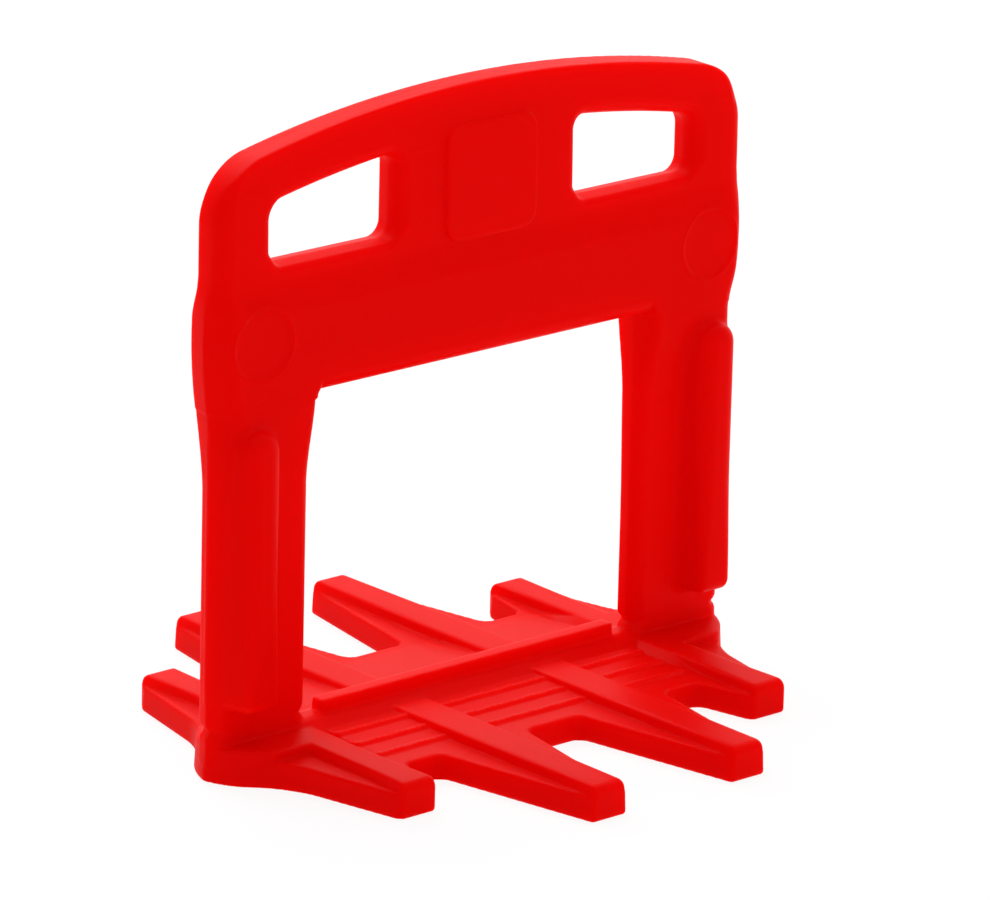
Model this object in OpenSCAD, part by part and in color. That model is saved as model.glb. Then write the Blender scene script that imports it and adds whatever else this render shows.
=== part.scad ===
// Tile levelling clip moulded in one piece: comb base, break notch, legs, crossbar and windowed head.
// Millimetres. The underside lies on z = 0, X runs along the tile joint, Y across it, the front is -Y.

/* [Legs] */
// Clear width between the legs, where the wedge goes
window_w = 25; // [23:0.5:28]
// Clear height from the tile seat up to the crossbar
window_h = 20.1; // [16:0.1:26]
// Width of a leg from parting ridge to parting ridge
leg_w = 7.15; // [6.5:0.05:9]
// Leg thickness in front of the parting plane
leg_front = 0.65; // [0.5:0.05:0.9]
// Leg thickness behind the parting plane
leg_back = 0.95; // [0.6:0.05:1.2]
// Draft of a leg's side from its parting ridge to its faces
leg_draft = 0.45; // [0.2:0.05:0.6]
// Depth of the break groove into a leg's sides
notch_side = 0.3; // [0.1:0.05:0.5]
// Depth of the break groove into a leg's faces
notch_face = 0.12; // [0.05:0.01:0.2]
// Height of the break groove along the leg
notch_h = 0.6; // [0.3:0.05:0.8]
// Distance of the frame's parting plane in front of the base's middle
frame_y = 0.2; // [0:0.02:0.22]

/* [Leg ribs] */
// Width of a leg rib where it meets the leg
rib_w = 3.45; // [2.8:0.05:4]
// Width of a leg rib's crest
rib_crest_w = 2.2; // [1:0.05:2.6]
// Height of a leg rib off the leg's face, which sets the tile joint
rib_h = 1.85; // [0.6:0.05:2.4]
// Distance from the leg's outer ridge to the rib's near edge
rib_inset = 0.5; // [0.45:0.05:1]
// Gap from the tile seat up to the rib's lower end
rib_lift = 2.2; // [1.4:0.05:3]
// Gap from the rib's round top up to the crossbar's underside
rib_top_gap = 1.3; // [0.6:0.05:3]
// Corner radius of the rib's lower end
rib_foot_r = 0.7; // [0.4:0.05:1.2]

/* [Crossbar] */
// Height of the crossbar from its underside to the head's crease
bar_h = 6.45; // [5.5:0.05:8]
// Thickness of the crossbar
bar_t = 3; // [2.6:0.1:3.6]
// Rounding of the crossbar's lower edges
bar_edge_r = 1; // [0.5:0.05:1.25]
// Height of the slope from the crossbar's face up to the crease
crease_h = 0.6; // [0.3:0.05:1]
// Distance of the shoulder bulge outside the legs
shoulder_out = 0.46; // [0.3:0.02:0.7]
// Draft of the shoulder's side from its parting ridge to its faces
shoulder_draft = 0.5; // [0.2:0.05:0.6]
// Height above the crossbar's underside at which the shoulder has its full thickness
shoulder_lift = 0.5; // [0:0.05:1]
// Length over which a leg's front thickens into its shoulder
shoulder_h = 3; // [2:0.1:4]
// Length over which a leg's back thickens into its shoulder
shoulder_back_h = 5.2; // [4.2:0.1:7]
// Radius of the shoulder's outward sweep
flare_r = 30; // [24:1:40]
// Diameter of the round ejector marks on the shoulders
mark_d = 4.25; // [3:0.05:5]
// Height of the ejector marks' centres above the crossbar's underside
mark_lift = 3.6; // [2.6:0.05:3.8]
// Depth of the ejector marks
mark_t = 0.08; // [0.04:0.01:0.2]

/* [Head] */
// Height of the head from the crease to the crown of the arch
head_h = 9.75; // [8.5:0.05:12]
// Thickness of the head plate
head_t = 2.2; // [1.8:0.05:2.5]
// Distance of the head's side edges outside the legs
head_out = 0.2; // [0:0.02:0.3]
// Radius of the arched top edge
arch_r = 78; // [66:1:110]
// Radius of the head's top corners
head_corner_r = 2.8; // [2:0.1:3.2]
// Width of the plate between the head's two windows
centre_w = 13.2; // [11:0.1:15]
// Width of the posts beside the windows
post_w = 3.7; // [3.4:0.05:4.4]
// Width of the arched rail over the windows
rail_w = 2.9; // [2.4:0.05:3.2]
// Height of the window sills above the crease
sill_h = 1.28; // [0.6:0.02:1.8]
// Corner radius of the windows
window_r = 1; // [0.6:0.05:1.5]
// Size of the plain raised field between the windows
field_w = 6.8; // [4:0.1:8]
// Height of the plain raised field off the plate
field_t = 0.25; // [0.1:0.05:0.5]

/* [Base] */
// Thickness of the base flange
flange_t = 1.55; // [1.2:0.05:2]
// Height of the finger ribs above the flange, up to the tile seat
seat_h = 0.6; // [0.5:0.05:0.9]
// Distance of the base's ends outside the legs
base_out = 0.06; // [0.04:0.02:0.5]
// Distance of the outer fingers' centre lines outside the wedge window
outer_in = 1; // [0.8:0.05:1.4]
// Pitch from an outer finger to an inner finger
finger_pitch = 8.17; // [7.6:0.01:8.6]
// Reach of the inner fingers from the joint's centre
inner_reach = 18.75; // [15:0.05:24]
// Reach of the outer fingers from the joint's centre
outer_reach = 11.85; // [10.5:0.05:14]
// Width of an inner finger's tip
inner_tip_w = 2.4; // [2.1:0.05:3]
// Width of an outer finger's tip
outer_tip_w = 2.6; // [2.2:0.05:3]
// Growth of an inner finger's half width per millimetre towards its root
inner_taper = 0.19; // [0.12:0.01:0.2]
// Growth of an outer finger's half width per millimetre towards its root
outer_taper = 0.22; // [0.15:0.005:0.24]
// Distance of the gaps' roots from the joint's centre
gap_root = 7.85; // [7:0.05:9]
// Corner radius at the gaps' roots
gap_r = 0.55; // [0.3:0.05:0.8]
// Corner radius of the finger tips
tip_r = 0.2; // [0.1:0.05:0.5]
// Rounding of the finger tips' upper ends
tip_top_r = 0.3; // [0.2:0.05:1]
// Width of an inner finger's rib at the root
inner_rib_w = 2.45; // [2.1:0.05:2.8]
// Width of an outer finger's rib at the root
outer_rib_w = 1.9; // [1.7:0.05:2.2]
// Width of the ribs at the finger tips
rib_tip_w = 1.9; // [1.2:0.05:2]
// Height of one web step
step_rise = 0.115; // [0.06:0.005:0.15]
// Distance of the highest step's nose from the joint's centre
step_first = 2.7; // [2.4:0.1:3.2]
// Tread of one web step
step_run = 1.75; // [1.2:0.05:2]
// Width of the slope from the steps up to an outer rib
step_side = 0.85; // [0.4:0.05:1.2]
// Half width of a base end before its corners are rounded
end_half = 0.95; // [0.8:0.05:1.8]
// Angle of a base end's flanks from the end's own face
end_a = 46; // [42:1:56]
// Radius of the base ends' corners in plan
end_r = 1.4; // [0.8:0.05:2]
// Straight stretch between a base end's corner and its sweep into the outer finger
sweep_flat = 0.7; // [0.2:0.05:1.5]
// Rounding of the base ends' upper edges
end_edge_r = 0.3; // [0.2:0.05:0.9]
// Depth of the boss under each leg on both sides of the joint
boss_y = 3.3; // [2.4:0.1:3.6]

/* [Centre ridge] */
// Height of the centre ridge above the tile seat
ridge_h = 1.05; // [0.7:0.05:1.4]
// Width of the ridge
ridge_w = 1; // [0.6:0.05:1.4]
// Clearance from the ridge's ends to the legs
ridge_gap = 1.3; // [1:0.05:2.5]
// Height of the foot under the ridge above the tile seat
saddle_h = 0.3; // [0.2:0.05:0.6]
// Width of the foot's flat top, from which the ridge rises
foot_w = 1.8; // [1.5:0.05:2.2]
// Run of the foot's slope down to the highest tread
foot_run = 1.3; // [0.9:0.05:1.4]

/* [Hidden] */
$fn = 96;
eps = 0.05;
arc_over = 0.002;
patch_over = 0.2;
leg_x0 = window_w / 2;
leg_x1 = leg_x0 + leg_w;
seat_z = flange_t + seat_h;
ridge_z = seat_z + ridge_h;
saddle_z = seat_z + saddle_h;
notch_z = saddle_z + notch_h / 2;
bar_z0 = seat_z + window_h;
bar_z1 = bar_z0 + bar_h;
crown_z = bar_z1 + head_h;
sill_z = bar_z1 + sill_h;
bulge_z = bar_z0 + 0.64 * bar_h;
shoulder_x = leg_x1 + shoulder_out;
shoulder_z1 = bar_z0 + shoulder_lift;
shoulder_z0 = shoulder_z1 - shoulder_back_h;
head_x = leg_x1 + head_out;
base_x = leg_x1 + base_out;
arch_z = crown_z - arch_r;
corner_x = head_x - head_corner_r;
corner_z = arch_z + sqrt(pow(arch_r - head_corner_r, 2) - pow(corner_x, 2));
win_x0 = centre_w / 2;
win_x1 = head_x - post_w;
win_arch_r = arch_r - rail_w;
rib_x1 = leg_x1 - rib_inset;
rib_x0 = rib_x1 - rib_w;
rib_z0 = seat_z + rib_lift;
rib_z1 = bar_z0 - rib_top_gap;
mark_x = leg_x1 - 0.375 * leg_w;
outer_x = leg_x0 + outer_in;
inner_x = outer_x - finger_pitch;
inner_root_hw = inner_tip_w / 2 + inner_taper * (inner_reach - gap_root);
outer_root_hw = outer_tip_w / 2 + outer_taper * (outer_reach - gap_root);
step_x = outer_x - outer_rib_w / 2 - step_side;

// Extrusions of a YZ section along X and of an XZ outline along Y
module along_x(length) {
    rotate([90, 0, 90]) translate([0, 0, -length / 2]) linear_extrude(length) children();
}

module along_y(y0, y1) {
    rotate([90, 0, 0]) translate([0, 0, -y1]) linear_extrude(y1 - y0) children();
}

// The children and their mirror images
module both_x() {
    children();
    mirror([1, 0]) children();
}

module both_y() {
    children();
    mirror([0, 1]) children();
}

module both_sides() {
    children();
    mirror([1, 0, 0]) children();
}

// Half the angle at b between its neighbours a and c
function half_angle(a, b, c) = acos((a - b) * (c - b) / norm(a - b) / norm(c - b)) / 2;

// What lies between a corner a-b-c and its arc of radius r; it reaches past the corner's sides so that it
// cuts or fills them cleanly, and the arc crosses the sides just short of tangency
module corner_patch(a, b, c, r) {
    u = (a - b) / norm(a - b);
    v = (c - b) / norm(c - b);
    half = half_angle(a, b, c);
    bisector = (u + v) / norm(u + v);
    centre = b + bisector * r / sin(half);
    reach = r / tan(half);
    grow = (r + patch_over) / r;
    difference() {
        polygon([
            centre, centre + grow * (b + u * reach - centre), centre + grow * (b - centre),
            centre + grow * (b + v * reach - centre)
        ]);
        translate(centre) circle(r + arc_over);
    }
}

// Plan of one finger pair, tapering from the joint to both tips
module finger_plan(x, reach, tip_w, taper) {
    tip = tip_w / 2;
    root = tip + taper * reach;
    difference() {
        polygon([
            [x - tip, -reach], [x + tip, -reach], [x + root, 0],
            [x + tip, reach], [x - tip, reach], [x - root, 0]
        ]);
        both_y() {
            corner_patch([x + root, 0], [x + tip, reach], [x - tip, reach], tip_r);
            corner_patch([x - root, 0], [x - tip, reach], [x + tip, reach], tip_r);
        }
    }
}

// Rounded corner between a gap's root and a finger's edge, side +1 where the finger lies at greater X
module root_fillet(x, half_w, taper, side) {
    edge = x - side * half_w;
    root = [edge, gap_root];
    corner_patch(root - [side, 0], root, root + [side * taper, 1], gap_r);
}

// Plan of the pointed base end with its sweep into the outer finger
module end_plan() {
    end_slope = 1 / tan(end_a);
    edge_0 = outer_x + outer_tip_w / 2 + outer_taper * outer_reach;
    shoulder = [base_x, end_half];
    valley_y = (base_x - edge_0 + end_half / end_slope) / (1 / end_slope - outer_taper);
    valley = [edge_0 - outer_taper * valley_y, valley_y];
    tip = [edge_0 - outer_taper * outer_reach, outer_reach];
    end_reach = end_r / tan(half_angle([base_x, 0], shoulder, valley));
    sweep_reach = norm(shoulder - valley) - end_reach - sweep_flat;
    sweep_r = sweep_reach * tan(half_angle(shoulder, valley, tip));
    both_y() {
        difference() {
            polygon([[outer_x, 0], [base_x, 0], shoulder, valley, [outer_x, valley_y]]);
            corner_patch([base_x, 0], shoulder, valley, end_r);
        }
        corner_patch(shoulder, valley, tip, sweep_r);
    }
}

module flange_plan() {
    translate([-outer_x, -gap_root]) square([2 * outer_x, 2 * gap_root]);
    both_x() {
        finger_plan(inner_x, inner_reach, inner_tip_w, inner_taper);
        finger_plan(outer_x, outer_reach, outer_tip_w, outer_taper);
        end_plan();
        both_y() {
            root_fillet(inner_x, inner_root_hw, inner_taper, 1);
            root_fillet(inner_x, inner_root_hw, inner_taper, -1);
            root_fillet(outer_x, outer_root_hw, outer_taper, 1);
        }
    }
}

// Plan of the raised rib on a finger pair
module rib_plan(x, reach, root_w) {
    tip = rib_tip_w / 2;
    root = root_w / 2;
    polygon([
        [x - tip, -reach], [x + tip, -reach], [x + root, -gap_root], [x + root, gap_root],
        [x + tip, reach], [x - tip, reach], [x - root, gap_root], [x - root, -gap_root]
    ]);
}

// Envelope that rounds the upper edges of the base's ends
module end_envelope() {
    flat_x = base_x - end_edge_r;
    translate([-flat_x, 0]) square([2 * flat_x, seat_z]);
    translate([-base_x, 0]) square([2 * base_x, seat_z - end_edge_r]);
    both_x() translate([flat_x, seat_z - end_edge_r]) circle(end_edge_r);
}

// Ridge along the joint, on a foot that slopes down to the highest tread and runs on under the legs
module centre_ridge() {
    ridge_x = leg_x0 - ridge_gap;
    tread_z = flange_t + 3 * step_rise;
    flat = foot_w / 2;
    foot = flat + foot_run;
    translate([-ridge_x, -ridge_w / 2, flange_t]) cube([2 * ridge_x, ridge_w, ridge_z - flange_t]);
    along_x(2 * (leg_x0 + leg_draft + 0.3)) polygon([
        [-foot, flange_t - eps], [foot, flange_t - eps], [foot, tread_z],
        [flat, saddle_z], [-flat, saddle_z], [-foot, tread_z]
    ]);
}

// Treads that step down from the ridge to the flange, with a slope up to each outer rib
module web_steps() {
    for (i = [0:2]) {
        nose = step_first + i * step_run;
        rise = (3 - i) * step_rise;
        translate([-step_x - eps, -nose, flange_t - eps]) cube([2 * (step_x + eps), 2 * nose, rise + eps]);
    }
    slope_x = step_x + step_side;
    both_sides() along_y(-gap_root + 0.6, gap_root - 0.6) polygon([
        [step_x, flange_t - eps], [slope_x + eps, flange_t - eps], [slope_x + eps, seat_z], [slope_x, seat_z],
        [step_x, flange_t]
    ]);
}

// What the round upper ends of a finger pair's tips leave out
module tip_rounding(x, reach, width) {
    corner = [reach - tip_top_r, seat_z - tip_top_r];
    translate([x, 0, 0]) along_x(width) both_x() translate(corner) difference() {
        square(tip_top_r + eps);
        circle(tip_top_r);
    }
}

module base() {
    difference() {
        base_blank();
        both_sides() {
            tip_rounding(inner_x, inner_reach, 2 * inner_tip_w);
            tip_rounding(outer_x, outer_reach, 2 * outer_tip_w);
        }
    }
    web_steps();
    centre_ridge();
}

module base_blank() {
    intersection() {
        union() {
            linear_extrude(flange_t) flange_plan();
            linear_extrude(seat_z) both_x() {
                rib_plan(inner_x, inner_reach, inner_rib_w);
                rib_plan(outer_x, outer_reach, outer_rib_w);
                intersection() {
                    flange_plan();
                    translate([outer_x, -boss_y]) square([base_x - outer_x, 2 * boss_y]);
                }
            }
        }
        along_y(-inner_reach - eps, inner_reach + eps) end_envelope();
    }
}

// Section of a leg, widest at the parting plane
module leg_section() {
    polygon([
        [leg_x0, 0], [leg_x0 + leg_draft, -leg_front], [leg_x1 - leg_draft, -leg_front],
        [leg_x1, 0], [leg_x1 - leg_draft, leg_back], [leg_x0 + leg_draft, leg_back]
    ]);
}

// Groove round a leg's foot where the clip snaps off
module break_groove() {
    low = notch_z - notch_h / 2;
    high = notch_z + notch_h / 2;
    x0 = leg_x0 - eps;
    x1 = leg_x1 + eps;
    y0 = -leg_front - eps;
    y1 = leg_back + eps;
    along_y(-bar_t, bar_t) {
        polygon([[leg_x0 + notch_side, notch_z], [x0, low], [x0, high]]);
        polygon([[leg_x1 - notch_side, notch_z], [x1, low], [x1, high]]);
    }
    translate([leg_x0 + leg_w / 2, 0, 0]) along_x(leg_w + 1) {
        polygon([[notch_face - leg_front, notch_z], [y0, low], [y0, high]]);
        polygon([[leg_back - notch_face, notch_z], [y1, low], [y1, high]]);
    }
}

// Spacer rib on a leg's front, with a round top and rounded lower corners
module leg_rib() {
    crest_x = (rib_x0 + rib_x1) / 2;
    half = rib_w / 2;
    crest = rib_crest_w / 2;
    intersection() {
        translate([crest_x, 0, 0]) linear_extrude(rib_z1) polygon([
            [-half, eps - leg_front], [-half, -leg_front], [-crest, -leg_front - rib_h],
            [crest, -leg_front - rib_h], [half, -leg_front], [half, eps - leg_front]
        ]);
        along_y(-leg_front - rib_h - eps, 0) difference() {
            union() {
                translate([rib_x0, rib_z0]) square([rib_w, rib_z1 - half - rib_z0]);
                translate([crest_x, rib_z1 - half]) circle(half);
            }
            corner_patch([rib_x0, rib_z1], [rib_x0, rib_z0], [rib_x1, rib_z0], rib_foot_r);
            corner_patch([rib_x1, rib_z1], [rib_x1, rib_z0], [rib_x0, rib_z0], rib_foot_r);
        }
    }
}

module legs() {
    both_sides() {
        difference() {
            translate([0, 0, flange_t - eps]) linear_extrude(bar_z0 + 1 - flange_t) leg_section();
            break_groove();
        }
        leg_rib();
    }
}

// Section of the crossbar between the legs
module bar_section() {
    half = bar_t / 2;
    low = bar_z0 + bar_edge_r;
    slope_z = bar_z1 - crease_h;
    polygon([
        [-half, low], [-half + bar_edge_r, bar_z0], [half - bar_edge_r, bar_z0], [half, low],
        [half, slope_z], [head_t / 2, bar_z1], [-head_t / 2, bar_z1], [-half, slope_z]
    ]);
    both_x() translate([half - bar_edge_r, low]) circle(bar_edge_r);
}

// Section of a shoulder, which thickens from leg to crossbar
module shoulder_section() {
    half = bar_t / 2;
    slope_z = bar_z1 - crease_h;
    polygon([
        [-leg_front, shoulder_z0], [leg_back, shoulder_z0], [half, shoulder_z1], [half, slope_z],
        [head_t / 2, bar_z1], [-head_t / 2, bar_z1], [-half, slope_z], [-half, shoulder_z1],
        [-leg_front, shoulder_z1 - shoulder_h]
    ]);
}

// Front outline of a shoulder: it sweeps out to the bulge and back in to the head
module shoulder_outline() {
    crease_r = (pow(bar_z1 - bulge_z, 2) / (shoulder_out - head_out) + shoulder_out - head_out) / 2;
    intersection() {
        translate([0, shoulder_z0]) square([shoulder_x + eps, bulge_z - shoulder_z0]);
        translate([shoulder_x - flare_r, bulge_z]) circle(flare_r, $fn = 360);
    }
    intersection() {
        translate([0, bulge_z]) square([shoulder_x + eps, bar_z1 - bulge_z]);
        union() {
            translate([shoulder_x - crease_r, bulge_z]) circle(crease_r, $fn = 240);
            translate([0, bulge_z]) square([leg_x1, bar_z1 - bulge_z]);
        }
    }
}

// Front outline of the wedge's way, with legs that flare inward under the crossbar
module wedge_way() {
    polygon([
        [0, shoulder_z0 - 1], [leg_x0 + leg_draft, shoulder_z0 - 1], [leg_x0 + leg_draft, shoulder_z0],
        [leg_x0 - eps, bar_z0 + 0.1], [0, bar_z0 + 0.1]
    ]);
}

module crossbar() {
    half = bar_t / 2;
    ridge_x = shoulder_x + eps;
    intersection() {
        union() {
            along_x(2 * leg_x1) bar_section();
            difference() {
                along_x(2 * shoulder_x + eps) shoulder_section();
                along_y(-bar_t, bar_t) both_x() wedge_way();
            }
        }
        along_y(-bar_t, bar_t) both_x() shoulder_outline();
        translate([0, 0, shoulder_z0]) linear_extrude(bar_z1 - shoulder_z0) polygon([
            [-ridge_x, 0], [shoulder_draft - shoulder_x, -half], [shoulder_x - shoulder_draft, -half],
            [ridge_x, 0], [shoulder_x - shoulder_draft, half], [shoulder_draft - shoulder_x, half]
        ]);
    }
}

// Front outline of the head: straight sides, round corners and the arch
module head_outline() {
    hub = [0, arch_z];
    corner = [corner_x, corner_z];
    lift = (corner - hub) / norm(corner - hub) * 2 * head_corner_r;
    low_z = bar_z1 - 0.5;
    translate([-head_x, low_z]) square([2 * head_x, corner_z - low_z]);
    both_x() translate(corner) circle(head_corner_r);
    intersection() {
        translate(hub) circle(arch_r, $fn = 720);
        polygon([
            [-corner_x, low_z], [corner_x, low_z], corner, corner + lift,
            [-corner_x - lift[0], corner_z + lift[1]], [-corner_x, corner_z]
        ]);
    }
}

// One window with round corners under its arched rail
module head_window() {
    inner_r = win_arch_r - window_r;
    x0 = win_x0 + window_r;
    x1 = win_x1 - window_r;
    z0 = sill_z + window_r;
    top0 = [x0, arch_z + sqrt(inner_r * inner_r - x0 * x0)];
    top1 = [x1, arch_z + sqrt(inner_r * inner_r - x1 * x1)];
    hub = [0, arch_z];
    lift0 = (top0 - hub) / inner_r * 2 * window_r;
    lift1 = (top1 - hub) / inner_r * 2 * window_r;
    polygon([[win_x0, z0], [win_x1, z0], [win_x1, top1[1]], top1, top0, [win_x0, top0[1]]]);
    translate([x0, sill_z]) square([x1 - x0, 2 * window_r]);
    intersection() {
        translate(hub) circle(win_arch_r, $fn = 720);
        polygon([[x0, z0], [x1, z0], top1, top1 + lift1, top0 + lift0, top0]);
    }
    for (p = [[x0, z0], [x1, z0], top0, top1]) translate(p) circle(window_r);
}

// Plain raised field between the windows
module blank_field() {
    half = field_w / 2;
    z = (sill_z + crown_z - rail_w) / 2;
    along_y(-head_t / 2 - field_t, eps - head_t / 2) translate([0, z]) difference() {
        square(field_w, center = true);
        both_x() both_y() corner_patch([half, 0], [half, half], [0, half], window_r);
    }
}

module head() {
    along_y(-head_t / 2, head_t / 2) difference() {
        head_outline();
        both_x() head_window();
    }
    blank_field();
}

// Legs, crossbar and head with the ejector marks on their front
module upright_frame() {
    difference() {
        union() {
            legs();
            crossbar();
            head();
        }
        both_sides() translate([mark_x, mark_t - bar_t / 2, bar_z0 + mark_lift])
            rotate([90, 0, 0]) cylinder(h = bar_t, d = mark_d);
    }
}

module clip_body() {
    color([0.86, 0.04, 0.03]) {
        base();
        translate([0, -frame_y, 0]) upright_frame();
    }
}

clip_body();
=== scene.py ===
"""Looks of a tile levelling clip: one moulded red piece on a white studio floor."""
import math

import bpy
import numpy as np
from bpy.props import FloatProperty, FloatVectorProperty, IntProperty, PointerProperty
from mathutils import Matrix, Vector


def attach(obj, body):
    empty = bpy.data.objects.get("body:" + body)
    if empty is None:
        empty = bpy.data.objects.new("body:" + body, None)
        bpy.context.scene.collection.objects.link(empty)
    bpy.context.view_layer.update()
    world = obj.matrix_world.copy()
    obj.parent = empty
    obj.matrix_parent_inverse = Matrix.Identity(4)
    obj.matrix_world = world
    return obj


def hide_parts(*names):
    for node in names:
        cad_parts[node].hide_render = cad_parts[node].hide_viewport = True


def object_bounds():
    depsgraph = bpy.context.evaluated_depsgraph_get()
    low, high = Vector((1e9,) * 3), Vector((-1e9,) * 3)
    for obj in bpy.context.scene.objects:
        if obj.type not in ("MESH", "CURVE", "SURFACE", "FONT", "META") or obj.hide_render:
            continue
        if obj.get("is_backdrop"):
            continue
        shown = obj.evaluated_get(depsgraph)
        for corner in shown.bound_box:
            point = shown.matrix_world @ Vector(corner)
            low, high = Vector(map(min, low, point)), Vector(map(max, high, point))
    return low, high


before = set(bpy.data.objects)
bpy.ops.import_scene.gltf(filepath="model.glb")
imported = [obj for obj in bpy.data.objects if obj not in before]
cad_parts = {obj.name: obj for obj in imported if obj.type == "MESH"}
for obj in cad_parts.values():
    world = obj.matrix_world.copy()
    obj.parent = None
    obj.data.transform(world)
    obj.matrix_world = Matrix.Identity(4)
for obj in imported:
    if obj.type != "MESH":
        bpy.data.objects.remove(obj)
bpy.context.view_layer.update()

bl_info = {
    "name": "Tile levelling clip",
    "version": (1, 0, 0),
    "blender": (4, 5, 0),
    "location": "3D View > Sidebar > Tile clip",
    "description": "Moulds the tile levelling clip from a distance field and sets up its studio",
    "category": "Object",
}

MM = 0.001

# Upright frame in millimetres
FRAME_Y = 0.2
FRAME_Z0 = 1.0

# Head, its windows and the plain field, in millimetres
HEAD_HALF_T = 1.1
HEAD_CORNER_R = 2.9
HEAD_PILLOW = 0.004
HEAD_EDGE_Z = 26.9
HEAD_EDGE_H = 2.2
CROWN_Z = 38.45
ARCH_R = 78.0
ARCH_Z = CROWN_Z - ARCH_R
ARCH_BLEND = 3.0
RAIL_W = 2.88
WINDOW_X0 = 6.62
WINDOW_X1 = 16.15
WINDOW_R = 1.0
WINDOW_REACH = 1.4
WINDOW_FRONT_R = 0.7
WINDOW_BACK_R = 0.2
SILL_Z = 29.98
SILL_REACH = 1.0
SILL_BLEND = 0.5
SILL_FRONT_R = 0.3
BACK_EDGE_R = 0.15
BACK_EDGE_SHARE = 0.28
FIELD_HALF = 3.4
FIELD_T = 0.25
FIELD_EDGE_R = 0.1
FIELD_FILLET_R = 0.1

# Crossbar and shoulders in millimetres
BAR_Z0 = 22.25
BAR_HALF_T = 1.5
BAR_EDGE_R = 1.0
CREASE_Z = 27.3
CREASE_H = 2.0
WAIST_INSET = 0.38
WAIST_Z = 22.0
WAIST_HALF_H = 1.3
SHOULDER_INSET = 0.35
SHOULDER_INSET_Z = 18.0
SHOULDER_INSET_H = 2.6
SHOULDER_STEP = 0.06
SHOULDER_STEP_Z = 21.9
SHOULDER_STEP_H = 0.1
INSET_FADE_Z = 27.2
INSET_FADE_H = 2.4
LEDGE = 0.2
LEDGE_Z = 21.92
LEDGE_H = 0.12
UNDER_X = 12.8
UNDER_Z0 = 22.0
UNDER_Z1 = 25.2
UNDER_BLEND = 0.15
UNDER_FADE = 1.2
WAY_CORNER_R = 0.08

# Legs with the break groove, in millimetres
LEG_X0 = 12.5
LEG_FRONT = 0.65
LEG_BACK = 0.95
LEG_INSET = 0.45
BACK_INSET = 0.25
BACK_INSET_GAIN = 0.05
BACK_INSET_Z = 17.5
BACK_INSET_H = 6.0
INNER_INSET = 0.52
INNER_BACK_INSET = 0.12
INNER_BACK_GAIN = 0.2
INNER_FLARE_Z = 8.0
INNER_FLARE_H = 13.0
FLARE_Z = 16.8
FLARE_H = 5.0
FLARE_STRAIGHT = 0.6
BACK_FLARE_Z = 17.0
BACK_FLARE_H = 6.0
NOTCH_Z = 2.95
NOTCH_SIDE = 0.3
NOTCH_FACE = 0.03
NOTCH_HALF_H = 0.24

# Leg ribs and ejector marks in millimetres
RIB_X = 17.425
RIB_HALF_W = 1.725
RIB_CREST_HALF_W = 1.1
RIB_H = 1.85
RIB_Z0 = 4.35
RIB_Z1 = 20.95
RIB_TOP_H = 1.3
RIB_FOOT_R = 0.75
CREST_R = 0.35
CREST_R_GAIN = 0.42
CREST_Z = 4.5
CREST_H = 8.0
MARK_X = 16.97
MARK_Z = 25.85
MARK_R = 2.125
MARK_T = 0.08
MARK_WALL = 0.16
MARK_LIP = 0.09
MARK_LIP_W = 0.1

# Comb base in millimetres
FLANGE_T = 1.55
SEAT_Z = 2.15
BASE_X = 19.71
OUTER_X = 13.5
INNER_X = 5.33
INNER_REACH = 18.68
OUTER_REACH = 11.75
INNER_TIP_HALF = 1.2
OUTER_TIP_HALF = 1.3
INNER_TIP_R = 0.2
OUTER_TIP_R = 0.6
INNER_TAPER = 0.19
OUTER_TAPER = 0.22
GAP_ROOT = 7.85
GAP_R = 0.55
INNER_RIB_HALF = 1.225
OUTER_RIB_HALF = 0.95
INNER_RIB_TIP = 1.05
OUTER_RIB_TIP = 1.1
RIB_LEAN = 0.22
TIP_TOP_R = 0.45
END_HALF = 0.95
END_SLOPE = 1.05
END_R = 1.4
END_EDGE_R = 0.18
SWEEP_R = 0.9
BOSS_Y = 3.3
BOSS_EDGE_R = 0.3
BOTTOM_EDGE_R = 0.26

# Stepped web and ridge in millimetres
STEP_COUNT = 3
STEP_RISE = 0.115
STEP_FIRST = 2.7
STEP_RUN = 1.75
STEP_NOSE_W = 0.3
STEP_X = 11.725
STEP_SIDE = 0.85
STEP_OVERLAP = 0.1
STEP_BEAD = 0.08
BEAD_BACK = 0.2
BEAD_W = 0.2
BEAD_UNEVEN = 0.45
BEAD_WAVE_A = 5.3
BEAD_WAVE_B = 8.9
BEAD_PHASE = 1.0
WEB_EDGE = 0.6
WEB_SLOPE_RUN = 5.0
RAMP_Y = 3.5
RAMP_RUN = 3.7
RIDGE_Z = 3.2
RIDGE_HALF = 0.5
RIDGE_X = 11.2
RIDGE_LEAN = 0.08
RIDGE_EDGE_R = 0.1
RIDGE_FILLET_R = 0.08
SADDLE_Z = 2.45
SADDLE_RUN = 0.75
FOOT_HALF = 0.65
FOOT_EDGE_R = 0.15
FOOT_A = math.radians(31)

# Factors that turn the fields of leaning walls back into distances
WALL_SCALE = 0.94
RIB_FLANK_SCALE = 0.947
FINGER_RIB_SCALE = 0.98
RAMP_SCALE = 0.8

# Lattice of the skin in millimetres, and how its points settle
LATTICE_LOW = (-20.8, -19.4, -0.4)
LATTICE_HIGH = (20.8, 19.4, 39.0)
SPLIT_Z = 3.7
FRAME_REACH = 3.2
SETTLE_ROUNDS = 2
SETTLE_SHARE = 0.5
LEAST_SLOPE = 0.2

# Mould's texture and inner glow of the plastic
GLOW_SPREAD = (1, 0.1, 0.06)
GRAIN_DETAIL = 3.0
GRAIN_ROUGHNESS = 0.6
STREAK_STRETCH = 0.04
STREAK_DETAIL = 2.0
STREAK_ROUGHNESS = 0.5
STREAK_Z0 = 33.0
STREAK_Z1 = 34.5

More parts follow.
